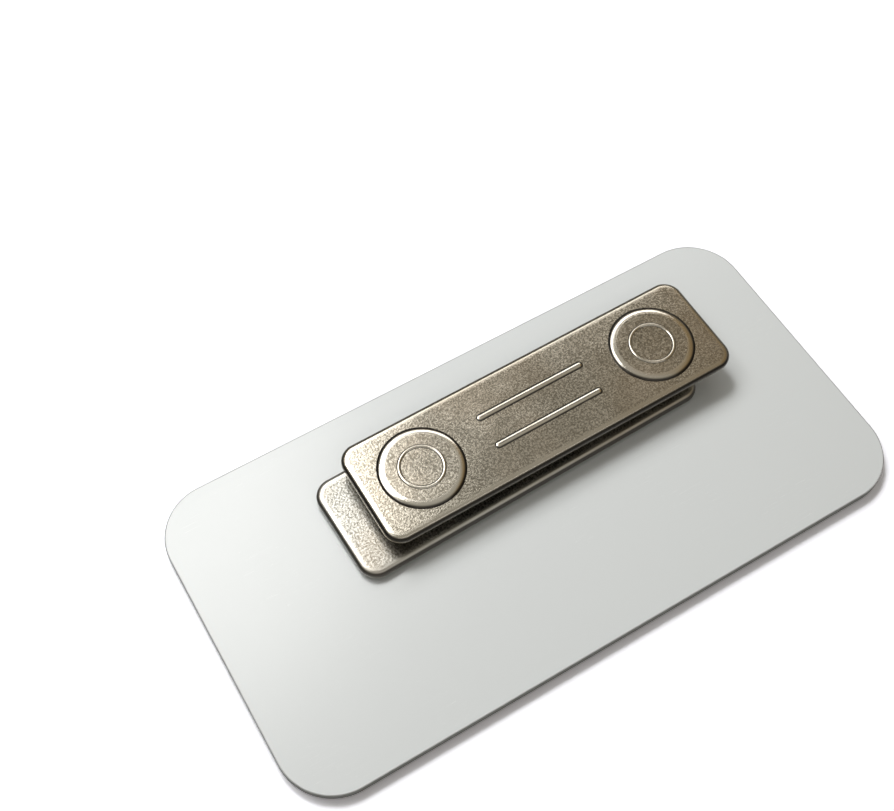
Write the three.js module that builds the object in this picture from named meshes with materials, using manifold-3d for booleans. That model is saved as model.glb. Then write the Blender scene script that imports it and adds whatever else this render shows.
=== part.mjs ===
// Magnetic name badge, lying on its front with its back up.
// A plate of two-ply engraving plastic, white with a thin red front ply, carries a steel plate on
// adhesive tape. A second steel plate with two disc magnets clings to the first one, and the
// wearer's cloth goes between the two.
// Millimetres, +Z up. The origin is on the surface that the badge lies on, under the middle of the
// plastic plate. +X runs along the plate's long edge.

import * as THREE from "three";
import { mergeVertices } from "three/addons/utils/BufferGeometryUtils.js";
import Module from "manifold-3d";

const wasm = await Module();
wasm.setup();

// The plastic plate, a 3 by 1 1/2 inch blank of 1/16 inch sheet
const plateLength = 76.2;
const plateWidth = 38.1;
const plateThickness = 1.6;
const plateCornerRadius = 6.35;
const frontBevel = 0.45;
const frontPlyThickness = 0.2;

// The engraving, two plain bars cut through the front ply in place of lettering
const nameBarLength = 46;
const nameBarHeight = 3.6;
const titleBarLength = 32;
const titleBarHeight = 2.2;
const engravedBarGap = 4.4;

// The adhesive tape under the steel plate
const tapeThickness = 0.5;
const tapeInset = 0.6;

// The steel plate that stays on the badge, and how it was stuck on by hand
const steelPlateLength = 44.75;
const steelPlateWidth = 13;
const steelPlateThickness = 1;
const steelPlateCornerRadius = 2.2;
const steelPlateAtX = 1.3;
const steelPlateAtY = 6.1;
const steelPlateTurn = THREE.MathUtils.degToRad(1.5);

// The magnet holder, the steel plate that pulls off, and how it slipped on the one below
const holderLongerBy = 0.45;
const holderLength = steelPlateLength + holderLongerBy;
const holderWidth = 12.9;
const holderThickness = 1;
const holderCornerRadius = 2.1;
const holderSlipX = 4;
const holderSlipY = 0.5;
const holderTurn = THREE.MathUtils.degToRad(-0.95);

// The rolled edge that both steel plates have on top, and the small one below
const rolledEdgeRadius = 0.45;
const lowerEdgeRadius = 0.15;

// The disc magnets and their seats, pressed up into the holder as bosses
const magnetDiameter = 8;
const magnetHeight = 2.5;
const magnetEdgeBreak = 0.2;
const magnetFromHolderEnd = 7.3;
const magnetSpacing = holderLength - 2 * magnetFromHolderEnd;
const magnetClearance = 0.3;
const seatDepth = 0.25;
const bossFootWall = 0.6;
const bossTopWall = 0.3;

// The plain marks pressed up on the holder: a ring on each boss, two ribs between them
const ringDiameter = 5;
const ringWidth = 0.5;
const ribLength = 14;
const ribWidth = 0.8;
const ribSpacing = 3.9;
const markHeight = 0.12;
const markSlope = 0.12;

// How finely round stretches are divided
const cornerSteps = 16;
const edgeSteps = 4;
const turnSteps = 64;

// How far a joined shape is sunk into the one that it is joined to, and a cut runs past a face
const joinDepth = 0.4;

// Heights that follow from the sizes above
const steelPlateBottom = plateThickness + tapeThickness;
const steelPlateTop = steelPlateBottom + steelPlateThickness;
const holderBottom = steelPlateTop + magnetHeight - seatDepth;

// The outline of a rectangle with round corners, drawn in by inset on every side.
function roundedOutline(length, width, radius, inset) {
  const points = [];
  const cornerRadius = Math.max(radius - inset, 0);
  const corners = [[1, 1], [-1, 1], [-1, -1], [1, -1]];
  corners.forEach(([sideX, sideY], quarter) => {
    const centreX = sideX * (length / 2 - inset - cornerRadius);
    const centreY = sideY * (width / 2 - inset - cornerRadius);
    for (let step = 0; step <= cornerSteps; step += 1) {
      const angle = (quarter + step / cornerSteps) * (Math.PI / 2);
      points.push([centreX + cornerRadius * Math.cos(angle), centreY + cornerRadius * Math.sin(angle)]);
    }
  });
  return points;
}

// A closed plate built up from levels, each a height z and how far its outline is drawn in there.
function layeredPlate(length, width, radius, levels) {
  const positions = [];
  const triangles = [];
  levels.forEach(({ z, inset }) => {
    roundedOutline(length, width, radius, inset).forEach(([x, y]) => positions.push(x, y, z));
  });
  const count = positions.length / 3 / levels.length;
  for (let level = 0; level + 1 < levels.length; level += 1) {
    for (let i = 0; i < count; i += 1) {
      const lower = level * count + i;
      const lowerNext = level * count + (i + 1) % count;
      triangles.push(lower, lowerNext, lowerNext + count, lower, lowerNext + count, lower + count);
    }
  }
  const bottomMiddle = positions.length / 3;
  const topMiddle = bottomMiddle + 1;
  const topStart = (levels.length - 1) * count;
  positions.push(0, 0, levels[0].z, 0, 0, levels[levels.length - 1].z);
  for (let i = 0; i < count; i += 1) {
    const next = (i + 1) % count;
    triangles.push(bottomMiddle, next, i, topMiddle, topStart + i, topStart + next);
  }
  const geometry = new THREE.BufferGeometry();
  geometry.setAttribute("position", new THREE.Float32BufferAttribute(positions, 3));
  geometry.setIndex(triangles);
  return geometry;
}

// The levels of a steel plate: a small round below, a straight side, a rolled edge on top.
function rolledLevels(bottom, thickness) {
  const levels = [];
  for (let step = 0; step <= edgeSteps; step += 1) {
    const angle = (step / edgeSteps) * (Math.PI / 2);
    levels.push({
      z: bottom + lowerEdgeRadius * (1 - Math.cos(angle)),
      inset: lowerEdgeRadius * (1 - Math.sin(angle)),
    });
  }
  for (let step = 0; step <= edgeSteps; step += 1) {
    const angle = (step / edgeSteps) * (Math.PI / 2);
    levels.push({
      z: bottom + thickness - rolledEdgeRadius * (1 - Math.sin(angle)),
      inset: rolledEdgeRadius * (1 - Math.cos(angle)),
    });
  }
  return levels;
}

// A solid turned about a vertical axis from a profile of radius and height pairs.
function turned(profile) {
  const points = profile.map(([radius, z]) => new THREE.Vector2(radius, z));
  return new THREE.LatheGeometry(points, turnSteps).rotateX(Math.PI / 2);
}

function toSolid(geometry) {
  const bare = geometry.clone();
  bare.deleteAttribute("normal");
  bare.deleteAttribute("uv");
  const merged = mergeVertices(bare, 1e-4);
  return new wasm.Manifold(new wasm.Mesh({
    numProp: 3,
    vertProperties: new Float32Array(merged.attributes.position.array),
    triVerts: new Uint32Array(merged.index.array),
  }));
}

function toGeometry(solid) {
  const mesh = solid.getMesh();
  const geometry = new THREE.BufferGeometry();
  geometry.setAttribute("position", new THREE.BufferAttribute(new Float32Array(mesh.vertProperties), 3));
  geometry.setIndex(new THREE.BufferAttribute(new Uint32Array(mesh.triVerts), 1));
  return geometry;
}

// The white core: bevelled around the front, sharp at the back.
function coreGeometry() {
  return layeredPlate(plateLength, plateWidth, plateCornerRadius, [
    { z: frontPlyThickness, inset: frontBevel - frontPlyThickness },
    { z: frontBevel, inset: 0 },
    { z: plateThickness, inset: 0 },
  ]);
}

// The front ply: the bevel's outer part, with the engraved bars cut through it.
function frontPlyGeometry() {
  const ply = layeredPlate(plateLength, plateWidth, plateCornerRadius, [
    { z: 0, inset: frontBevel },
    { z: frontPlyThickness, inset: frontBevel - frontPlyThickness },
  ]);
  const cutLevels = [{ z: -joinDepth, inset: 0 }, { z: frontPlyThickness + joinDepth, inset: 0 }];
  const blockWidth = nameBarHeight + engravedBarGap + titleBarHeight;
  const nameBar = layeredPlate(nameBarLength, nameBarHeight, nameBarHeight / 2, cutLevels)
    .translate(0, (blockWidth - nameBarHeight) / 2, 0);
  const titleBar = layeredPlate(titleBarLength, titleBarHeight, titleBarHeight / 2, cutLevels)
    .translate(0, (titleBarHeight - blockWidth) / 2, 0);
  return toGeometry(toSolid(ply).subtract(toSolid(nameBar)).subtract(toSolid(titleBar)));
}

// The tape is a little smaller than the steel plate that it holds.
function tapeGeometry() {
  return layeredPlate(
    steelPlateLength - 2 * tapeInset,
    steelPlateWidth - 2 * tapeInset,
    steelPlateCornerRadius - tapeInset,
    [{ z: plateThickness, inset: 0 }, { z: steelPlateBottom, inset: 0 }],
  );
}

function steelPlateGeometry() {
  const levels = rolledLevels(steelPlateBottom, steelPlateThickness);
  return layeredPlate(steelPlateLength, steelPlateWidth, steelPlateCornerRadius, levels);
}

// The holder: a steel plate with two pressed bosses, hollow below where the magnets sit.
function holderGeometry() {
  const top = holderBottom + holderThickness;
  const bossTop = top + seatDepth;
  const seatRadius = magnetDiameter / 2 + magnetClearance;
  let holder = toSolid(
    layeredPlate(
      holderLength,
      holderWidth,
      holderCornerRadius,
      rolledLevels(holderBottom, holderThickness),
    ),
  );
  for (const side of [-1, 1]) {
    const atX = side * magnetSpacing / 2;
    const boss = turned([
      [0, top - joinDepth],
      [seatRadius + bossFootWall, top - joinDepth],
      [seatRadius + bossFootWall, top],
      [seatRadius + bossTopWall, bossTop],
      [0, bossTop],
    ]);
    const seat = turned([
      [0, holderBottom - joinDepth],
      [seatRadius, holderBottom - joinDepth],
      [seatRadius, holderBottom + seatDepth],
      [0, holderBottom + seatDepth],
    ]);
    const innerRadius = (ringDiameter - ringWidth) / 2;
    const outerRadius = (ringDiameter + ringWidth) / 2;
    const ring = turned([
      [innerRadius, bossTop - joinDepth],
      [outerRadius, bossTop - joinDepth],
      [outerRadius, bossTop],
      [outerRadius - markSlope, bossTop + markHeight],
      [innerRadius + markSlope, bossTop + markHeight],
      [innerRadius, bossTop],
      [innerRadius, bossTop - joinDepth],
    ]);
    holder = holder.add(toSolid(boss.translate(atX, 0, 0)));
    holder = holder.add(toSolid(ring.translate(atX, 0, 0)));
    holder = holder.subtract(toSolid(seat.translate(atX, 0, 0)));
  }
  for (const side of [-1, 1]) {
    const rib = layeredPlate(ribLength, ribWidth, ribWidth / 2, [
      { z: top - joinDepth, inset: 0 },
      { z: top, inset: 0 },
      { z: top + markHeight, inset: markSlope },
    ]);
    holder = holder.add(toSolid(rib.translate(0, side * ribSpacing / 2, 0)));
  }
  return toGeometry(holder);
}

function magnetGeometry() {
  const radius = magnetDiameter / 2;
  const top = steelPlateTop + magnetHeight;
  return turned([
    [0, steelPlateTop],
    [radius - magnetEdgeBreak, steelPlateTop],
    [radius, steelPlateTop + magnetEdgeBreak],
    [radius, top - magnetEdgeBreak],
    [radius - magnetEdgeBreak, top],
    [0, top],
  ]);
}

function piece(name, geometry, color, roughness, metalness) {
  const mesh = new THREE.Mesh(geometry, new THREE.MeshStandardMaterial({ color, roughness, metalness }));
  mesh.name = name;
  return mesh;
}

const badge = new THREE.Group();
badge.add(piece("front_ply", frontPlyGeometry(), 0x960d16, 0.35, 0));
badge.add(piece("core_plate", coreGeometry(), 0xe2e4df, 0.4, 0));

// The fastener's lower half, stuck on a little crooked
const fastener = new THREE.Group();
fastener.position.set(steelPlateAtX, steelPlateAtY, 0);
fastener.rotation.z = steelPlateTurn;
fastener.add(piece("adhesive_tape", tapeGeometry(), 0x9b9c98, 0.9, 0));
fastener.add(piece("steel_plate", steelPlateGeometry(), 0xa09a8c, 0.35, 1));
badge.add(fastener);

// Its upper half, held by the magnets alone
const holder = new THREE.Group();
holder.position.set(holderSlipX, holderSlipY, 0);
holder.rotation.z = holderTurn;
holder.add(piece("magnet_holder", holderGeometry(), 0x8f8878, 0.35, 1));
for (const [name, side] of [["magnet_left", -1], ["magnet_right", 1]]) {
  const magnet = piece(name, magnetGeometry(), 0x77787a, 0.3, 1);
  magnet.position.x = side * magnetSpacing / 2;
  holder.add(magnet);
}
fastener.add(holder);

export default badge;
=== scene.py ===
import math

import bpy
from mathutils import Matrix, Vector


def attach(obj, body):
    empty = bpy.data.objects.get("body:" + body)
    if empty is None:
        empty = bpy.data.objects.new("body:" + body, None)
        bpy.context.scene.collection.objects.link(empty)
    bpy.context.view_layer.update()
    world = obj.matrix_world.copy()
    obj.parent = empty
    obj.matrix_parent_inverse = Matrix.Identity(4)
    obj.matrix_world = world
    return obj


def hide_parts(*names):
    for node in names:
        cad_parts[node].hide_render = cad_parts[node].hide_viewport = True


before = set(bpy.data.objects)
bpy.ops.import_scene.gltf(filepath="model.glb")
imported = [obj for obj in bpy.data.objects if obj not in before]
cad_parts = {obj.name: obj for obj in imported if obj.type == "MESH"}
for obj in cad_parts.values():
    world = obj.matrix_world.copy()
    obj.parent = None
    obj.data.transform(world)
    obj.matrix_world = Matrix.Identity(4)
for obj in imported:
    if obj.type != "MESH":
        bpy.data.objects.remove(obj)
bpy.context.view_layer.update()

# The floor, the camera and the light
# The badge lies face down on plain white paper, and the camera looks down on it from beyond its
# lower left corner. Soft boxes hang behind it and a long strip in front, and one small bare lamp
# makes the shadows.

camera_data = bpy.data.cameras.new("camera")
camera_data.sensor_width = 36
camera_data.lens = 52.16
camera_data.shift_x = 0.0518
camera_data.shift_y = 0.0011
camera_data.clip_start = 0.01
camera = bpy.data.objects.new("camera", camera_data)
camera.location = (-0.04194, -0.04679, 0.13254)
camera.rotation_euler = [math.radians(turn) for turn in (28.927, 0.591, -30.004)]
bpy.context.scene.collection.objects.link(camera)
bpy.context.scene.camera = camera


def add(tree, node_type, values=(), **settings):
    """Adds a node with its settings, and sets or links its inputs, each by name or by number."""
    node = tree.nodes.new(node_type)
    for name, value in settings.items():
        setattr(node, name, value)
    for key, value in dict(values).items():
        if isinstance(value, bpy.types.NodeSocket):
            tree.links.new(value, node.inputs[key])
        else:
            node.inputs[key].default_value = value
    return node


def new_material(name, finish):
    """A Principled material with these plain values on the shader's own sockets."""
    material = bpy.data.materials.new(name)
    material.use_nodes = True
    shader = material.node_tree.nodes["Principled BSDF"]
    for key, value in finish.items():
        shader.inputs[key].default_value = value
    return material, material.node_tree, shader


def ramp(tree, value, low, high):
    """0 up to low, 1 from high on, and a smooth rise between them."""
    limits = {"Value": value, "From Min": low, "From Max": high}
    return add(tree, "ShaderNodeMapRange", limits, interpolation_type="SMOOTHSTEP").outputs[0]


def tinted(tree, share, first, second):
    """The first colour where share is 0, the second where it is 1."""
    return add(tree, "ShaderNodeMix", {0: share, 6: first, 7: second}, data_type="RGBA").outputs[2]


# The paper is lit past white, so that it stays plain white right to the picture's edges. It is
# greyer in what the nickel mirrors, and greyer still in the light that it throws back.
paper_as_seen, paper_mirrored = (1.46, 1.47, 1.57, 1), (0.7, 0.7, 0.7, 1)
paper = (0.3, 0.3, 0.3, 1)
floor_half, floor_drop = 1.2, 0.00002
floor_mesh = bpy.data.meshes.new("floor")
floor_corners = [(-1, -1), (1, -1), (1, 1), (-1, 1)]
floor_mesh.from_pydata(
    [(x * floor_half, y * floor_half, -floor_drop) for x, y in floor_corners], [], [(0, 1, 2, 3)]
)
floor = bpy.data.objects.new("floor", floor_mesh)
bpy.context.scene.collection.objects.link(floor)
floor_material, tree, shader = new_material("floor_paper", {"Roughness": 0.9})
ray = add(tree, "ShaderNodeLightPath").outputs
for kind, white in (("Is Glossy Ray", paper_mirrored), ("Is Camera Ray", paper_as_seen)):
    paper = tinted(tree, ray[kind], paper, white)
tree.links.new(paper, shader.inputs["Base Color"])
floor_mesh.materials.append(floor_material)

# Each area lamp points from its place at another point. Sizes are metres and powers watts. The bare
# lamp is the one that the nickel doesn't mirror.
soft_white, warm_white = (1.0, 1.0, 0.985), (1.0, 0.99, 0.97)
for name, place, aim, size, power, colour in (
    ("key_soft_box", (-0.058, 0.10, 0.20), (-0.058, 0, 0), (0.110, 0.085), 0.164, soft_white),
    ("key_edge", (0.012, 0.118, 0.20), (0.012, 0, 0), (0.034, 0.085), 0.041, (1.0, 0.99, 0.98)),
    ("left_card", (-0.105, 0.03, 0.20), (0, 0, 0), (0.10, 0.06), 0.025, warm_white),
    ("back_strip", (0.09, 0.16, 0.20), (0.09, 0, 0), (0.22, 0.055), 0.095, (1.0, 1.0, 1.0)),
    ("front_strip", (-0.05, -0.30, 0.44), (-0.05, 0, 0), (0.60, 0.045), 0.16, warm_white),
    ("bare_lamp", (-0.01, 0.16, 0.34), (0, 0, 0), (0.065, 0.065), 0.36, soft_white),
):
    light = bpy.data.lights.new(name, "AREA")
    light.shape = "RECTANGLE"
    light.size, light.size_y = size
    light.energy = power
    light.color = colour
    lamp = bpy.data.objects.new(name, light)
    lamp.location = place
    lamp.rotation_euler = (Vector(place) - Vector(aim)).to_track_quat("Z", "Y").to_euler()
    lamp.visible_glossy = name != "bare_lamp"
    bpy.context.scene.collection.objects.link(lamp)

# The ceiling is pale, the room is darker low down and at the back, and its right side is a warm
# brown high up. Matt surfaces get half of this light, so that the lamps' shadows stay clear.
ceiling = (0.46, 0.445, 0.40, 1)
front_low, back_low = (0.40, 0.385, 0.36, 1), (0.11, 0.103, 0.092, 1)
right_low, right_high = (0.17, 0.16, 0.14, 1), (0.29, 0.215, 0.115, 1)
share_on_matt = 0.5
world = bpy.data.worlds.new("studio")
world.use_nodes = True
tree = world.node_tree
direction = add(tree, "ShaderNodeTexCoord").outputs["Generated"]
towards = add(tree, "ShaderNodeSeparateXYZ", {0: direction}).outputs
low = tinted(tree, ramp(tree, towards["Y"], -0.6, 0.3), front_low, back_low)
room = tinted(tree, ramp(tree, towards["Z"], 0.30, 0.88), low, ceiling)
right = tinted(tree, ramp(tree, towards["Z"], 0.40, 0.75), right_low, right_high)
room = tinted(tree, ramp(tree, towards["X"], 0.27, 0.56), room, right)
tree.links.new(room, tree.nodes["Background"].inputs["Color"])
on_matt = add(tree, "ShaderNodeLightPath").outputs["Is Diffuse Ray"]
strengths = {"Value": on_matt, "To Min": 1.0, "To Max": share_on_matt}
strength = add(tree, "ShaderNodeMapRange", strengths).outputs[0]
tree.links.new(strength, tree.nodes["Background"].inputs["Strength"])
bpy.context.scene.world = world
bpy.context.scene.view_settings.view_transform = "Standard"

# The white core
# The thicker ply of the engraving sheet, white plastic cut to a plate with round corners. Its back
# is the smooth sheet, its sides are sawn and sanded, and its front edge is bevelled all round. Its
# sides and edges are painted dark grey as shade, streaked by the saw's lines.

mm = 0.001
plate_length, plate_width, plate_thickness = 76.2 * mm, 38.1 * mm, 1.6 * mm
plate_corner, front_bevel, front_ply_thickness = 6.35 * mm, 0.45 * mm, 0.2 * mm


def calc(tree, operation, *values):
    """A Math node's result. Each value is a number or a socket."""
    return add(tree, "ShaderNodeMath", enumerate(values), operation=operation).outputs[0]


def blend(tree, share, first, second):
    """first where share is 0, second where it is 1."""
    return add(tree, "ShaderNodeMix", {0: share, 2: first, 3: second}).outputs[0]


def new_group(tree_type, name, inputs, outputs):
    """A node group with named inputs, each a socket type and a value, and named outputs."""
    tree = bpy.data.node_groups.new(name, tree_type)
    for label, (socket_type, value) in inputs.items():
        kind = "NodeSocket" + socket_type
        socket = tree.interface.new_socket(label, in_out="INPUT", socket_type=kind)
        if value is not None:
            socket.default_value = value
    for label, socket_type in outputs.items():
        kind = "NodeSocket" + socket_type
        tree.interface.new_socket(label, in_out="OUTPUT", socket_type=kind)
    return tree, add(tree, "NodeGroupInput").outputs, add(tree, "NodeGroupOutput").inputs


# Each solid of the badge is a round-cornered outline with an edge worked round it below and above,
# so one tree makes them all. Its rows run from the middle of the underside out over the lower
# edge, up the side, in over the upper edge and to the middle of the top. Its columns run round.
# Foot Shade is 0 on a plate, and 1 on a mark pressed up from one, whose foot is painted dark as shade.
form_inputs = {
    "Length": ("Float", 10 * mm),
    "Width": ("Float", 10 * mm),
    "Corner Radius": ("Float", 1 * mm),
    "Bottom": ("Float", 0.0),
    "Top": ("Float", 1 * mm),
    "Lower Edge In": ("Float", 0.03 * mm),
    "Lower Edge Rise": ("Float", 0.03 * mm),
    "Upper Edge In": ("Float", 0.03 * mm),
    "Upper Edge Fall": ("Float", 0.03 * mm),
    "Edge Turn": ("Float", math.pi / 2),
    "Border": ("Float", 0.05 * mm),
    "Foot Shade": ("Float", 0.0),
    "Edge Steps": ("Int", 6),
    "Corner Steps": ("Int", 24),
}
rounded_form, given, result = new_group(
    "GeometryNodeTree", "rounded_form", form_inputs, {"Mesh": "Geometry"}
)
t = rounded_form
corner_points = calc(t, "ADD", given["Corner Steps"], 1)
columns = calc(t, "MULTIPLY_ADD", corner_points, 4, 1)
rows = calc(t, "MULTIPLY_ADD", given["Edge Steps"], 2, 6)
grid = add(t, "GeometryNodeMeshGrid", {"Vertices X": rows, "Vertices Y": columns})
index = add(t, "GeometryNodeInputIndex").outputs[0]

# Half a step is added before each division, so that rounding can't drop a row or a quarter.
row = calc(t, "FLOOR", calc(t, "DIVIDE", calc(t, "ADD", index, 0.5), columns))
column = calc(t, "SUBTRACT", index, calc(t, "MULTIPLY", row, columns))
quarter = calc(t, "FLOOR", calc(t, "DIVIDE", calc(t, "ADD", column, 0.5), corner_points))
step = calc(t, "SUBTRACT", column, calc(t, "MULTIPLY", quarter, corner_points))
quarter_share = calc(t, "DIVIDE", step, given["Corner Steps"])
turn = calc(t, "MULTIPLY", calc(t, "ADD", quarter, quarter_share), math.pi / 2)
corner_turn = calc(t, "MULTIPLY", calc(t, "ADD", quarter, 0.5), math.pi / 2)


def worked_edge(first_row, start, across, up, width, height):
    """How far an edge is drawn in at each row, and how far the row has come from the flat face."""
    share = calc(t, "DIVIDE", calc(t, "SUBTRACT", row, first_row), given["Edge Steps"])
    held = add(t, "ShaderNodeClamp", {"Value": share}).outputs[0]
    angle = calc(t, "MULTIPLY_ADD", held, given["Edge Turn"], start)
    drawn_in = calc(t, "MULTIPLY", width, calc(t, "SUBTRACT", 1, calc(t, across, angle)))
    return drawn_in, calc(t, "MULTIPLY", height, calc(t, "SUBTRACT", 1, calc(t, up, angle)))


upper_row = calc(t, "ADD", given["Edge Steps"], 3)
upper_start = calc(t, "SUBTRACT", math.pi / 2, given["Edge Turn"])
lower_in, rise = worked_edge(2, 0, "SINE", "COSINE", given["Lower Edge In"], given["Lower Edge Rise"])
upper_in, fall = worked_edge(
    upper_row, upper_start, "COSINE", "SINE", given["Upper Edge In"], given["Upper Edge Fall"]
)
is_upper = calc(t, "GREATER_THAN", row, calc(t, "SUBTRACT", upper_row, 0.5))
rows_to_middle = calc(t, "MINIMUM", row, calc(t, "SUBTRACT", calc(t, "SUBTRACT", rows, 1), row))
border = calc(t, "MULTIPLY", given["Border"], calc(t, "LESS_THAN", rows_to_middle, 1.5))
drawn_in = calc(t, "ADD", blend(t, is_upper, lower_in, upper_in), border)
lower_height = calc(t, "ADD", given["Bottom"], rise)
height = blend(t, is_upper, lower_height, calc(t, "SUBTRACT", given["Top"], fall))
radius = calc(t, "MAXIMUM", calc(t, "SUBTRACT", given["Corner Radius"], drawn_in), 0)
corner_inset = calc(t, "MAXIMUM", given["Corner Radius"], drawn_in)
spot = []
for way, size in (("COSINE", "Length"), ("SINE", "Width")):
    reach = calc(t, "SUBTRACT", calc(t, "MULTIPLY", given[size], 0.5), corner_inset)
    centre = calc(t, "MULTIPLY", reach, calc(t, "SIGN", calc(t, way, corner_turn)))
    outer = calc(t, "MULTIPLY_ADD", radius, calc(t, way, turn), centre)
    spot.append(calc(t, "MULTIPLY", outer, calc(t, "GREATER_THAN", rows_to_middle, 0.5)))
position = add(t, "ShaderNodeCombineXYZ", {"X": spot[0], "Y": spot[1], "Z": height}).outputs[0]
placing = {"Geometry": grid.outputs["Mesh"], "Position": position}
placed = add(t, "GeometryNodeSetPosition", placing).outputs[0]

# The finishes read three marks: the worked edges, how steep they are, and what is pressed up. The
# nickel paints steep edges and the feet of pressed marks dark as shade, and what is pressed up
# lighter, partly as rubbed wear and partly as a painted highlight.
is_worked = calc(t, "GREATER_THAN", rows_to_middle, 1.5)
over_the_edge = calc(t, "DIVIDE", calc(t, "SUBTRACT", row, upper_row), given["Edge Steps"])
steep_up_to = blend(t, given["Foot Shade"], 0.45, 0.25)
level_from = blend(t, given["Foot Shade"], 0.75, 0.6)
steepness = calc(t, "SUBTRACT", 1, ramp(t, over_the_edge, steep_up_to, level_from))
steepness = calc(t, "MULTIPLY", is_worked, blend(t, is_upper, given["Foot Shade"], steepness))
raised = calc(t, "MULTIPLY", calc(t, "MULTIPLY", is_worked, is_upper), given["Foot Shade"])
marked = placed
for label, value in (("worked_edge", is_worked), ("painted_edge_shade", steepness), ("raised", raised)):
    marks = {"Geometry": marked, "Name": label, "Value": value}
    marked = add(t, "GeometryNodeStoreNamedAttribute", marks).outputs[0]
doubles = {"Geometry": marked, "Distance": 0.0005 * mm}
closed = add(t, "GeometryNodeMergeByDistance", doubles).outputs[0]
outward = add(t, "GeometryNodeFlipFaces", {"Mesh": closed}).outputs[0]
t.links.new(outward, result["Mesh"])


def new_piece_tree(name, extra_inputs):
    """A tree for a piece, with the rounded form's inputs, its own, and a material."""
    inputs = {**form_inputs, **extra_inputs, "Material": ("Material", None)}
    tree, given, result = new_group("GeometryNodeTree", name, inputs, {"Geometry": "Geometry"})
    body_values = {label: given[label] for label in form_inputs}
    body = add(tree, "GeometryNodeGroup", body_values, node_tree=rounded_form).outputs[0]
    return tree, given, result, body


crease_angle = math.radians(32)


def end_tree(tree, mesh, given, result):
    """Ends a piece's tree: smooth but for its sharp edges, real instances, and its material."""
    smooth = add(tree, "GeometryNodeSetShadeSmooth", {0: mesh, "Shade Smooth": True}, domain="FACE")
    angle = add(tree, "GeometryNodeInputMeshEdgeAngle").outputs["Unsigned Angle"]
    is_sharp = calc(tree, "GREATER_THAN", angle, crease_angle)
    creases = {0: smooth.outputs[0], "Selection": is_sharp, "Shade Smooth": False}
    creased = add(tree, "GeometryNodeSetShadeSmooth", creases, domain="EDGE").outputs[0]
    real = add(tree, "GeometryNodeRealizeInstances", {0: creased}).outputs[0]
    painted = add(tree, "GeometryNodeSetMaterial", {0: real, "Material": given["Material"]})
    tree.links.new(painted.outputs[0], result[0])


plate_tree, given, result, body = new_piece_tree("plain_plate", {})
end_tree(plate_tree, body, given, result)


def make_piece(name, tree, place, values):
    """Runs a tree once, and gives its result as a plain mesh with its place in it."""
    piece = bpy.data.objects.new(name, bpy.data.meshes.new(name))
    bpy.context.scene.collection.objects.link(piece)
    modifier = piece.modifiers.new("shape", "NODES")
    modifier.node_group = tree
    for item in tree.interface.items_tree:
        if item.in_out == "INPUT" and item.name in values:
            modifier[item.identifier] = values[item.name]
    made = piece.evaluated_get(bpy.context.evaluated_depsgraph_get())
    mesh = bpy.data.meshes.new_from_object(made)
    mesh.materials.clear()
    mesh.materials.append(values["Material"])
    mesh.polygons.foreach_set("material_index", [0] * len(mesh.polygons))
    piece.modifiers.clear()
    piece.data = mesh
    mesh.transform(place)
    return piece


# Wear that every material shares: smudges, hairline scratches and specks of dust. Sizes are lengths
# on the piece, and each output is 0 where the surface is clean and 1 where it is marked.
wear_inputs = {
    "Point": ("Vector", None),
    "Smudge Size": ("Float", 12 * mm),
    "Scratch Length": ("Float", 9 * mm),
    "Speck Spacing": ("Float", 3 * mm),
}
wear_marks = {"Smudges": "Float", "Scratches": "Float", "Specks": "Float"}
scratch_stretch, hairline_half_width, largest_speck = 42, 0.006, 0.045
handling_wear, given, result = new_group("ShaderNodeTree", "handling_wear", wear_inputs, wear_marks)
t = handling_wear


def noise(tree, point, scale, detail=2.0, roughness=0.5):
    """Soft noise from 0 to 1, with this many lumps to the metre."""
    values = {"Vector": point, "Scale": scale, "Detail": detail, "Roughness": roughness}
    return add(tree, "ShaderNodeTexNoise", values).outputs["Fac"]


def stretched(tree, point, turn, scale):
    """The point turned and scaled, so that a pattern read there runs in long lines."""
    return add(tree, "ShaderNodeMapping", {"Vector": point, "Rotation": turn, "Scale": scale}).outputs[0]


smudge_scale = calc(t, "DIVIDE", 1, given["Smudge Size"])
t.links.new(ramp(t, noise(t, given["Point"], smudge_scale, 2), 0.3, 0.8), result["Smudges"])
scratch_scale = calc(t, "DIVIDE", 1, given["Scratch Length"])
scratches = 0
for turn_z, seed in ((0.5, 0.0), (-0.9, 3.1), (2.0, 7.7)):
    along = stretched(t, given["Point"], (0, 0, turn_z), (1, scratch_stretch, 1))
    from_middle = calc(t, "ABSOLUTE", calc(t, "SUBTRACT", noise(t, along, scratch_scale, 1), 0.5))
    hairline = calc(t, "SUBTRACT", 1, ramp(t, from_middle, 0, hairline_half_width))
    where = noise(t, stretched(t, given["Point"], (seed, 0, 0), (1, 1, 1)), scratch_scale, 1)
    scratches = calc(t, "MAXIMUM", scratches, calc(t, "MULTIPLY", hairline, ramp(t, where, 0.61, 0.67)))
t.links.new(scratches, result["Scratches"])
speck_scale = calc(t, "DIVIDE", 1, given["Speck Spacing"])
cells = add(t, "ShaderNodeTexVoronoi", {"Vector": given["Point"], "Scale": speck_scale})
chance = add(t, "ShaderNodeSeparateColor", {0: cells.outputs["Color"]})
speck_size = calc(t, "MULTIPLY", ramp(t, chance.outputs[0], 0.7, 1), largest_speck)
is_speck = calc(t, "LESS_THAN", cells.outputs["Distance"], speck_size)
t.links.new(is_speck, result["Specks"])


def object_point(tree):
    """The point on the piece, in metres in the badge's own frame."""
    return add(tree, "ShaderNodeTexCoord").outputs["Object"]


def wear(tree, **sizes):
    """The wear group in a material, with that material's own sizes."""
    values = {key.replace("_", " ").title(): size for key, size in sizes.items()}
    values["Point"] = object_point(tree)
    return add(tree, "ShaderNodeGroup", values, node_tree=handling_wear).outputs


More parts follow.
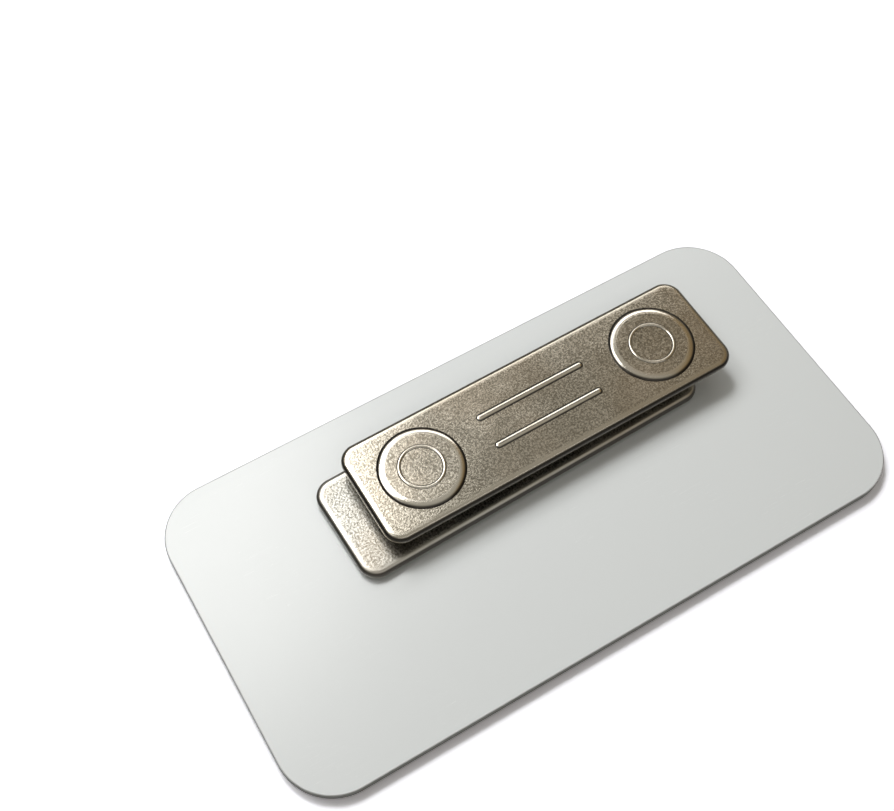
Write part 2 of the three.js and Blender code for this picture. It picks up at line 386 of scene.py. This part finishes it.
def set_surface(tree, shader, colour, roughness, height):
    """Links a material's colour, its roughness, and the height in metres that its bumps stand."""
    bump = add(tree, "ShaderNodeBump", {"Height": height, "Distance": 1.0})
    tree.links.new(colour, shader.inputs["Base Color"])
    tree.links.new(roughness, shader.inputs["Roughness"])
    tree.links.new(bump.outputs[0], shader.inputs["Normal"])


core_white, core_side_shade_grey = (0.728, 0.755, 0.762, 1), (0.235, 0.235, 0.23, 1)
core_dust = (0.45, 0.44, 0.42, 1)
core_grain_depth, saw_line_depth, core_scratch_depth = 0.0008 * mm, 0.02 * mm, 0.0004 * mm
core_material, tree, shader = new_material("white_core_sheet", {"IOR": 1.55})
marks = wear(tree, smudge_size=16 * mm, scratch_length=11 * mm, speck_spacing=2.6 * mm)
sawn = add(tree, "ShaderNodeAttribute", attribute_name="worked_edge").outputs["Fac"]
saw_lines = noise(tree, stretched(tree, object_point(tree), (0, 0, 0), (1, 1, 14)), 900, 2)
sheet_grain = noise(tree, object_point(tree), 1500, 2)
# The worked edges are painted dark grey as shade, streaked by the saw's lines.
side_shade_share = calc(tree, "MULTIPLY", sawn, calc(tree, "MULTIPLY_ADD", saw_lines, 0.5, 0.5))
colour = tinted(tree, side_shade_share, core_white, core_side_shade_grey)
colour = tinted(tree, calc(tree, "MULTIPLY", marks["Specks"], 0.5), colour, core_dust)
roughness = calc(tree, "MULTIPLY_ADD", marks["Smudges"], 0.03, 0.24)
roughness = calc(tree, "MULTIPLY_ADD", marks["Scratches"], 0.06, roughness)
roughness = calc(tree, "MULTIPLY_ADD", sawn, 0.3, roughness)
relief = blend(tree, sawn, sheet_grain, saw_lines)
height = calc(tree, "MULTIPLY", relief, blend(tree, sawn, core_grain_depth, saw_line_depth))
height = calc(tree, "MULTIPLY_ADD", marks["Scratches"], -core_scratch_depth, height)
set_surface(tree, shader, colour, roughness, height)

core_plate = make_piece("white_core", plate_tree, Matrix(), {
    "Length": plate_length,
    "Width": plate_width,
    "Corner Radius": plate_corner,
    "Bottom": front_ply_thickness,
    "Top": plate_thickness,
    "Lower Edge In": front_bevel - front_ply_thickness,
    "Lower Edge Rise": front_bevel - front_ply_thickness,
    "Upper Edge In": 0.08 * mm,
    "Upper Edge Fall": 0.08 * mm,
    "Border": 0.1 * mm,
    "Edge Steps": 2,
    "Corner Steps": 32,
    "Material": core_material,
})
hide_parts("core_plate")
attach(core_plate, "badge")

# The red front ply
# The engraving sheet's thin top layer, red right through, bonded to the core and cut and bevelled
# with it. A rotary engraver has cut through it, and the white shows in two plain bars.

name_bar_length, name_bar_height = 46 * mm, 3.6 * mm
title_bar_length, title_bar_height = 32 * mm, 2.2 * mm
engraved_gap, cutter_reach = 4.4 * mm, 0.3 * mm

engraving_inputs = {
    "Name Bar Length": ("Float", 1 * mm),
    "Name Bar Height": ("Float", 1 * mm),
    "Title Bar Length": ("Float", 1 * mm),
    "Title Bar Height": ("Float", 1 * mm),
    "Bar Gap": ("Float", 1 * mm),
    "Cutter Reach": ("Float", 1 * mm),
}
engraved_tree, given, result, body = new_piece_tree("engraved_ply", engraving_inputs)
t = engraved_tree


def cut_away(tree, solid, cutters):
    """The solid with the cutters taken out of it."""
    meshes = {"Mesh 1": solid, "Mesh 2": cutters}
    cut = add(tree, "GeometryNodeMeshBoolean", meshes, operation="DIFFERENCE", solver="EXACT")
    return cut.outputs["Mesh"]


cuts = add(t, "GeometryNodeJoinGeometry")
block_height = calc(t, "ADD", given["Name Bar Height"], given["Bar Gap"])
block_height = calc(t, "ADD", block_height, given["Title Bar Height"])
for bar, side in (("Name Bar", 1), ("Title Bar", -1)):
    bar_height = given[bar + " Height"]
    shape = {
        "Length": given[bar + " Length"],
        "Width": bar_height,
        "Corner Radius": calc(t, "MULTIPLY", bar_height, 0.5),
        "Bottom": calc(t, "SUBTRACT", given["Bottom"], given["Cutter Reach"]),
        "Top": calc(t, "ADD", given["Top"], given["Cutter Reach"]),
    }
    cut = add(t, "GeometryNodeGroup", shape, node_tree=rounded_form).outputs[0]
    across = calc(t, "MULTIPLY", calc(t, "SUBTRACT", block_height, bar_height), side / 2)
    move = add(t, "ShaderNodeCombineXYZ", {"Y": across}).outputs[0]
    moved = add(t, "GeometryNodeTransform", {"Geometry": cut, "Translation": move}).outputs[0]
    t.links.new(moved, cuts.inputs[0])
end_tree(t, cut_away(t, body, cuts.outputs[0]), given, result)

ply_red, ply_worn, ply_dust = (0.305, 0.006, 0.011, 1), (0.36, 0.02, 0.025, 1), (0.4, 0.3, 0.3, 1)
ply_grain_depth, ply_scratch_depth = 0.0012 * mm, 0.0008 * mm
ply_material, tree, shader = new_material("red_ply_sheet", {"IOR": 1.5})
marks = wear(tree, smudge_size=14 * mm, scratch_length=8 * mm, speck_spacing=3 * mm)
worn = ramp(tree, noise(tree, object_point(tree), 90, 3), 0.3, 0.8)
sheet_grain = noise(tree, object_point(tree), 2400, 2)
colour = tinted(tree, calc(tree, "MULTIPLY", worn, 0.35), ply_red, ply_worn)
colour = tinted(tree, calc(tree, "MULTIPLY", marks["Specks"], 0.3), colour, ply_dust)
roughness = calc(tree, "MULTIPLY_ADD", marks["Smudges"], 0.08, 0.28)
roughness = calc(tree, "MULTIPLY_ADD", marks["Scratches"], 0.15, roughness)
height = calc(tree, "MULTIPLY", sheet_grain, ply_grain_depth)
height = calc(tree, "MULTIPLY_ADD", marks["Scratches"], -ply_scratch_depth, height)
set_surface(tree, shader, colour, roughness, height)

front_ply = make_piece("red_front_ply", engraved_tree, Matrix(), {
    "Length": plate_length - 2 * (front_bevel - front_ply_thickness),
    "Width": plate_width - 2 * (front_bevel - front_ply_thickness),
    "Corner Radius": plate_corner - (front_bevel - front_ply_thickness),
    "Bottom": 0.0,
    "Top": front_ply_thickness,
    "Lower Edge In": front_ply_thickness,
    "Lower Edge Rise": front_ply_thickness,
    "Upper Edge In": 0.0,
    "Upper Edge Fall": 0.0,
    "Edge Steps": 1,
    "Corner Steps": 32,
    "Name Bar Length": name_bar_length,
    "Name Bar Height": name_bar_height,
    "Title Bar Length": title_bar_length,
    "Title Bar Height": title_bar_height,
    "Bar Gap": engraved_gap,
    "Cutter Reach": cutter_reach,
    "Material": ply_material,
})
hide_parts("front_ply")
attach(front_ply, "badge")

# The adhesive tape
# A grey foam tape with adhesive on both faces, cut a little smaller than the steel plate that it
# holds to the back. Its cut sides show the foam's open cells.

tape_thickness, tape_inset = 0.5 * mm, 0.6 * mm
steel_length, steel_width, steel_thickness, steel_corner = 44.75 * mm, 13 * mm, 1 * mm, 2.2 * mm
fastener_at, fastener_turn = (1.3 * mm, 6.1 * mm, 0), math.radians(1.5)
fastener_place = Matrix.Translation(fastener_at) @ Matrix.Rotation(fastener_turn, 4, "Z")

foam_dark, foam_pale, cell_dark = (0.36, 0.36, 0.35, 1), (0.5, 0.5, 0.48, 1), (0.22, 0.22, 0.21, 1)
cells_to_the_metre, cell_depth = 6500, 0.05 * mm
tape_material, tree, shader = new_material("foam_tape", {"IOR": 1.45})
foam = add(tree, "ShaderNodeTexVoronoi", {"Vector": object_point(tree), "Scale": cells_to_the_metre})
cells = foam.outputs["Distance"]
mottle = noise(tree, object_point(tree), 700, 3)
colour = tinted(tree, mottle, foam_dark, foam_pale)
colour = tinted(tree, ramp(tree, cells, 0.35, 0.1), cell_dark, colour)
roughness = calc(tree, "MULTIPLY_ADD", mottle, 0.15, 0.8)
set_surface(tree, shader, colour, roughness, calc(tree, "MULTIPLY", cells, cell_depth))

adhesive_tape = make_piece("foam_tape", plate_tree, fastener_place, {
    "Length": steel_length - 2 * tape_inset,
    "Width": steel_width - 2 * tape_inset,
    "Corner Radius": steel_corner - tape_inset,
    "Bottom": plate_thickness,
    "Top": plate_thickness + tape_thickness,
    "Edge Steps": 2,
    "Corner Steps": 12,
    "Material": tape_material,
})
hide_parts("adhesive_tape")
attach(adhesive_tape, "badge")

# The steel plate on the badge
# A strip of sheet steel, blanked with round corners, its upper edge rolled over by the press, then
# tumbled to a fine pebble grain and nickel plated. It is stuck on by hand, a little crooked.

roll_width, roll_height, lower_edge = 0.6 * mm, 0.52 * mm, 0.15 * mm
steel_bottom = plate_thickness + tape_thickness
steel_top = steel_bottom + steel_thickness

grain_inputs = {
    "Point": ("Vector", None),
    "Grain Size": ("Float", 0.4 * mm),
    "Depth": ("Float", 0.01 * mm),
}
pebble_grain, given, result = new_group(
    "ShaderNodeTree", "pebble_grain", grain_inputs, {"Height": "Float", "Peaks": "Float"}
)
t = pebble_grain
grain_scale = calc(t, "DIVIDE", 1, given["Grain Size"])
pebbles = noise(t, given["Point"], grain_scale, 1.5, 0.6)
fine = noise(t, given["Point"], calc(t, "MULTIPLY", grain_scale, 2.7), 1)
relief = calc(t, "MULTIPLY_ADD", fine, 0.35, pebbles)
t.links.new(calc(t, "MULTIPLY", relief, given["Depth"]), result["Height"])
t.links.new(ramp(t, relief, 0.5, 0.85), result["Peaks"])

tarnish_brown, edge_shade_colour = (0.42, 0.34, 0.25, 1), (0.03, 0.026, 0.022, 1)
tarnish_patches, tarnish_share, rubbed_smoother_by = 130, 0.3, 0.05


def nickel(name, warm, dark, rubbed_and_highlight, grain_size, depth, edge_depth, edge_shade_strength, roughness):
    """Nickel plate: warm on the pebbles' tops and dark between them. Worked edges have a finer
    grain and painted shade where they are steep, and what is pressed up is painted lighter, partly
    as rubbed wear and partly as a painted highlight."""
    material, tree, shader = new_material(name, {"Metallic": 1.0})
    marks = wear(tree, smudge_size=5 * mm, scratch_length=4 * mm, speck_spacing=2 * mm)
    edge = add(tree, "ShaderNodeAttribute", attribute_name="worked_edge").outputs["Fac"]
    depth = blend(tree, edge, depth, edge_depth)
    grain_values = {"Point": object_point(tree), "Grain Size": grain_size, "Depth": depth}
    grain = add(tree, "ShaderNodeGroup", grain_values, node_tree=pebble_grain).outputs
    raised = add(tree, "ShaderNodeAttribute", attribute_name="raised").outputs["Fac"]
    colour = tinted(tree, blend(tree, edge, grain["Peaks"], 1.0), dark, warm)
    # Pressed-up marks are painted lighter: partly rubbed wear, partly a painted highlight.
    colour = tinted(tree, raised, colour, rubbed_and_highlight)
    tarnish = ramp(tree, noise(tree, object_point(tree), tarnish_patches, 3), 0.35, 0.75)
    colour = tinted(tree, calc(tree, "MULTIPLY", tarnish, tarnish_share), colour, tarnish_brown)
    painted_edge_shade = add(tree, "ShaderNodeAttribute", attribute_name="painted_edge_shade").outputs["Fac"]
    # Steep edges, the feet of pressed marks and the ring's sides are painted dark, as shade.
    colour = tinted(tree, calc(tree, "MULTIPLY", painted_edge_shade, edge_shade_strength), colour, edge_shade_colour)
    value = calc(tree, "MULTIPLY_ADD", raised, -rubbed_smoother_by, roughness)
    value = calc(tree, "MULTIPLY_ADD", marks["Smudges"], 0.08, value)
    value = calc(tree, "MULTIPLY_ADD", marks["Scratches"], 0.1, value)
    set_surface(tree, shader, colour, value, grain["Height"])
    return material


steel_material = nickel(
    "nickelled_steel_lower", (0.50, 0.49, 0.455, 1), (0.17, 0.165, 0.145, 1), (0.60, 0.58, 0.54, 1),
    grain_size=0.24 * mm, depth=0.022 * mm, edge_depth=0.006 * mm, edge_shade_strength=0.85, roughness=0.28,
)
steel_plate = make_piece("steel_strip", plate_tree, fastener_place, {
    "Length": steel_length,
    "Width": steel_width,
    "Corner Radius": steel_corner,
    "Bottom": steel_bottom,
    "Top": steel_top,
    "Lower Edge In": lower_edge,
    "Lower Edge Rise": lower_edge,
    "Upper Edge In": roll_width,
    "Upper Edge Fall": roll_height,
    "Border": 0.3 * mm,
    "Edge Steps": 10,
    "Material": steel_material,
})
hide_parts("steel_plate")
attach(steel_plate, "badge")

# The magnets
# Two sintered disc magnets, nickel plated and tumbled so that their edges are broken. They sit in
# the bosses of the holder and cling to the steel plate through the wearer's cloth.

magnet_diameter, magnet_height, magnet_edge = 8 * mm, 2.5 * mm, 0.2 * mm
magnet_spacing, seat_depth = 30.6 * mm, 0.25 * mm
slip, slip_turn = (4 * mm, 0.5 * mm, 0), math.radians(-0.95)
holder_place = fastener_place @ Matrix.Translation(slip) @ Matrix.Rotation(slip_turn, 4, "Z")


def pair(tree, instance, spacing, axis):
    """Two copies, apart by spacing along an axis and centred."""
    start = add(tree, "ShaderNodeCombineXYZ", {axis: calc(tree, "MULTIPLY", spacing, -0.5)}).outputs[0]
    apart = add(tree, "ShaderNodeCombineXYZ", {axis: spacing}).outputs[0]
    ends = {"Count": 2, "Start Location": start, "Offset": apart}
    line = add(tree, "GeometryNodeMeshLine", ends).outputs[0]
    copies = add(tree, "GeometryNodeInstanceOnPoints", {"Points": line, "Instance": instance})
    return copies.outputs[0]


magnet_tree, given, result, body = new_piece_tree("magnet_pair", {"Spacing": ("Float", 30 * mm)})
end_tree(magnet_tree, pair(magnet_tree, body, given["Spacing"], "X"), given, result)

magnet_material = nickel(
    "magnet_nickel", (0.60, 0.60, 0.60, 1), (0.50, 0.50, 0.51, 1), (0.62, 0.62, 0.62, 1),
    grain_size=0.15 * mm, depth=0.002 * mm, edge_depth=0.001 * mm, edge_shade_strength=0.2, roughness=0.2,
)
magnets = make_piece("disc_magnets", magnet_tree, holder_place, {
    "Length": magnet_diameter,
    "Width": magnet_diameter,
    "Corner Radius": magnet_diameter / 2,
    "Bottom": steel_top,
    "Top": steel_top + magnet_height,
    "Lower Edge In": magnet_edge,
    "Lower Edge Rise": magnet_edge,
    "Upper Edge In": magnet_edge,
    "Upper Edge Fall": magnet_edge,
    "Spacing": magnet_spacing,
    "Material": magnet_material,
})
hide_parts("magnet_left", "magnet_right")
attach(magnets, "holder")

# The magnet holder
# The strip that pulls off, pressed from the same nickelled steel. A boss is pressed up over each
# magnet, with a plain ring on it, and two plain ribs stiffen the middle between the bosses.

holder_length, holder_width, holder_thickness, holder_corner = 45.2 * mm, 12.9 * mm, 1 * mm, 2.1 * mm
holder_bottom = steel_top + magnet_height - seat_depth
holder_top = holder_bottom + holder_thickness

holder_inputs = {
    "Magnet Spacing": ("Float", 30 * mm),
    "Seat Radius": ("Float", 4.3 * mm),
    "Seat Depth": ("Float", 0.25 * mm),
    "Boss Radius": ("Float", 4.88 * mm),
    "Boss Slope": ("Float", 0.8 * mm),
    "Foot": ("Float", 0.12 * mm),
    "Ring Radius": ("Float", 2.5 * mm),
    "Ring Width": ("Float", 0.5 * mm),
    "Rib Length": ("Float", 14 * mm),
    "Rib Width": ("Float", 0.8 * mm),
    "Rib Spacing": ("Float", 3.9 * mm),
    "Mark Height": ("Float", 0.12 * mm),
    "Mark Slope": ("Float", 0.38 * mm),
}
holder_tree, given, result, body = new_piece_tree("magnet_holder", holder_inputs)
t = holder_tree
seat_size = calc(t, "MULTIPLY", given["Seat Radius"], 2)
seat = add(t, "GeometryNodeGroup", {
    "Length": seat_size,
    "Width": seat_size,
    "Corner Radius": given["Seat Radius"],
    "Bottom": calc(t, "SUBTRACT", given["Bottom"], given["Seat Depth"]),
    "Top": calc(t, "ADD", given["Bottom"], given["Seat Depth"]),
}, node_tree=rounded_form).outputs[0]
seats = add(t, "GeometryNodeRealizeInstances", {0: pair(t, seat, given["Magnet Spacing"], "X")}).outputs[0]
strip = cut_away(t, body, seats)

# A pressed mark stops short of upright where its foot meets its rounded top, at a quarter of its
# height, and its lowest part is sunk in the sheet.
press_turn = math.radians(80)
turned_share = 1 - math.cos(press_turn)
foot_share, sunk = 0.25, 0.004 * mm


def pressed_up(length, width, base, height, foot, slope):
    """A mark pressed up from below: a tight foot in the sheet, and a broad rounded upper edge."""
    values = {
        "Length": length,
        "Width": width,
        "Corner Radius": calc(t, "MULTIPLY", width, 0.5),
        "Bottom": calc(t, "SUBTRACT", base, sunk),
        "Top": calc(t, "ADD", base, height),
        "Lower Edge In": calc(t, "MULTIPLY", foot, -1),
        "Lower Edge Rise": calc(t, "MULTIPLY", height, foot_share / turned_share),
        "Upper Edge In": slope,
        "Upper Edge Fall": calc(t, "MULTIPLY", height, (1 - foot_share) / turned_share),
        "Edge Turn": press_turn,
        "Foot Shade": 1.0,
        "Edge Steps": 8,
        "Corner Steps": 24,
    }
    return add(t, "GeometryNodeGroup", values, node_tree=rounded_form).outputs[0]


def circle(radius, points):
    """A circle's curve, in this many steps."""
    values = {"Resolution": points, "Radius": radius}
    return add(t, "GeometryNodeCurvePrimitiveCircle", values).outputs[0]


top, foot = given["Top"], given["Foot"]
boss_size = calc(t, "MULTIPLY", given["Boss Radius"], 2)
boss = pressed_up(boss_size, boss_size, top, given["Seat Depth"], foot, given["Boss Slope"])
rib = pressed_up(
    given["Rib Length"], given["Rib Width"], top, given["Mark Height"], foot, given["Mark Slope"]
)

# The ring is a flattened bead bent round into a circle, and sunk past its middle into the boss, so
# that it stands as high as the ribs.
ring_flatness = 0.72
bead = circle(calc(t, "MULTIPLY", given["Ring Width"], 0.5), points=16)
ring_curves = {"Curve": circle(given["Ring Radius"], points=96), "Profile Curve": bead}
ring = add(t, "GeometryNodeCurveToMesh", ring_curves).outputs[0]
boss_top = calc(t, "ADD", top, given["Seat Depth"])
ring_height = calc(t, "ADD", boss_top, calc(t, "MULTIPLY", given["Mark Height"], -0.5))
ring_place = {
    "Geometry": ring,
    "Translation": add(t, "ShaderNodeCombineXYZ", {"Z": ring_height}).outputs[0],
    "Scale": (1, 1, ring_flatness),
}
ring = add(t, "GeometryNodeTransform", ring_place).outputs[0]
normal = add(t, "GeometryNodeInputNormal").outputs[0]
facing = add(t, "ShaderNodeSeparateXYZ", {0: normal}).outputs["Z"]
# The ring's sides, where they turn away from the top, are painted dark as shade.
ring_side_shade = calc(t, "SUBTRACT", 1, ramp(t, facing, 0.6, 0.95))
# The whole ring is marked raised, so it is painted lighter, as rubbed wear and painted highlight.
for label, value in (("worked_edge", 1.0), ("raised", 1.0), ("painted_edge_shade", ring_side_shade)):
    ring_marks = {"Geometry": ring, "Name": label, "Value": value}
    ring = add(t, "GeometryNodeStoreNamedAttribute", ring_marks).outputs[0]
boss_marks = add(t, "GeometryNodeJoinGeometry")
for part in (boss, ring):
    t.links.new(part, boss_marks.inputs[0])
whole = add(t, "GeometryNodeJoinGeometry")
bosses = pair(t, boss_marks.outputs[0], given["Magnet Spacing"], "X")
for part in (strip, bosses, pair(t, rib, given["Rib Spacing"], "Y")):
    t.links.new(part, whole.inputs[0])
end_tree(t, whole.outputs[0], given, result)

holder_material = nickel(
    "nickelled_steel_holder", (0.54, 0.505, 0.435, 1), (0.22, 0.20, 0.16, 1), (0.66, 0.625, 0.55, 1),
    grain_size=0.21 * mm, depth=0.009 * mm, edge_depth=0.004 * mm, edge_shade_strength=0.97, roughness=0.17,
)
magnet_holder = make_piece("holder_strip", holder_tree, holder_place, {
    "Length": holder_length,
    "Width": holder_width,
    "Corner Radius": holder_corner,
    "Bottom": holder_bottom,
    "Top": holder_top,
    "Lower Edge In": lower_edge,
    "Lower Edge Rise": lower_edge,
    "Upper Edge In": roll_width,
    "Upper Edge Fall": roll_height,
    "Border": 0.3 * mm,
    "Edge Steps": 10,
    "Magnet Spacing": magnet_spacing,
    "Seat Depth": seat_depth,
    "Material": holder_material,
})
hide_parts("magnet_holder")
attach(magnet_holder, "holder")
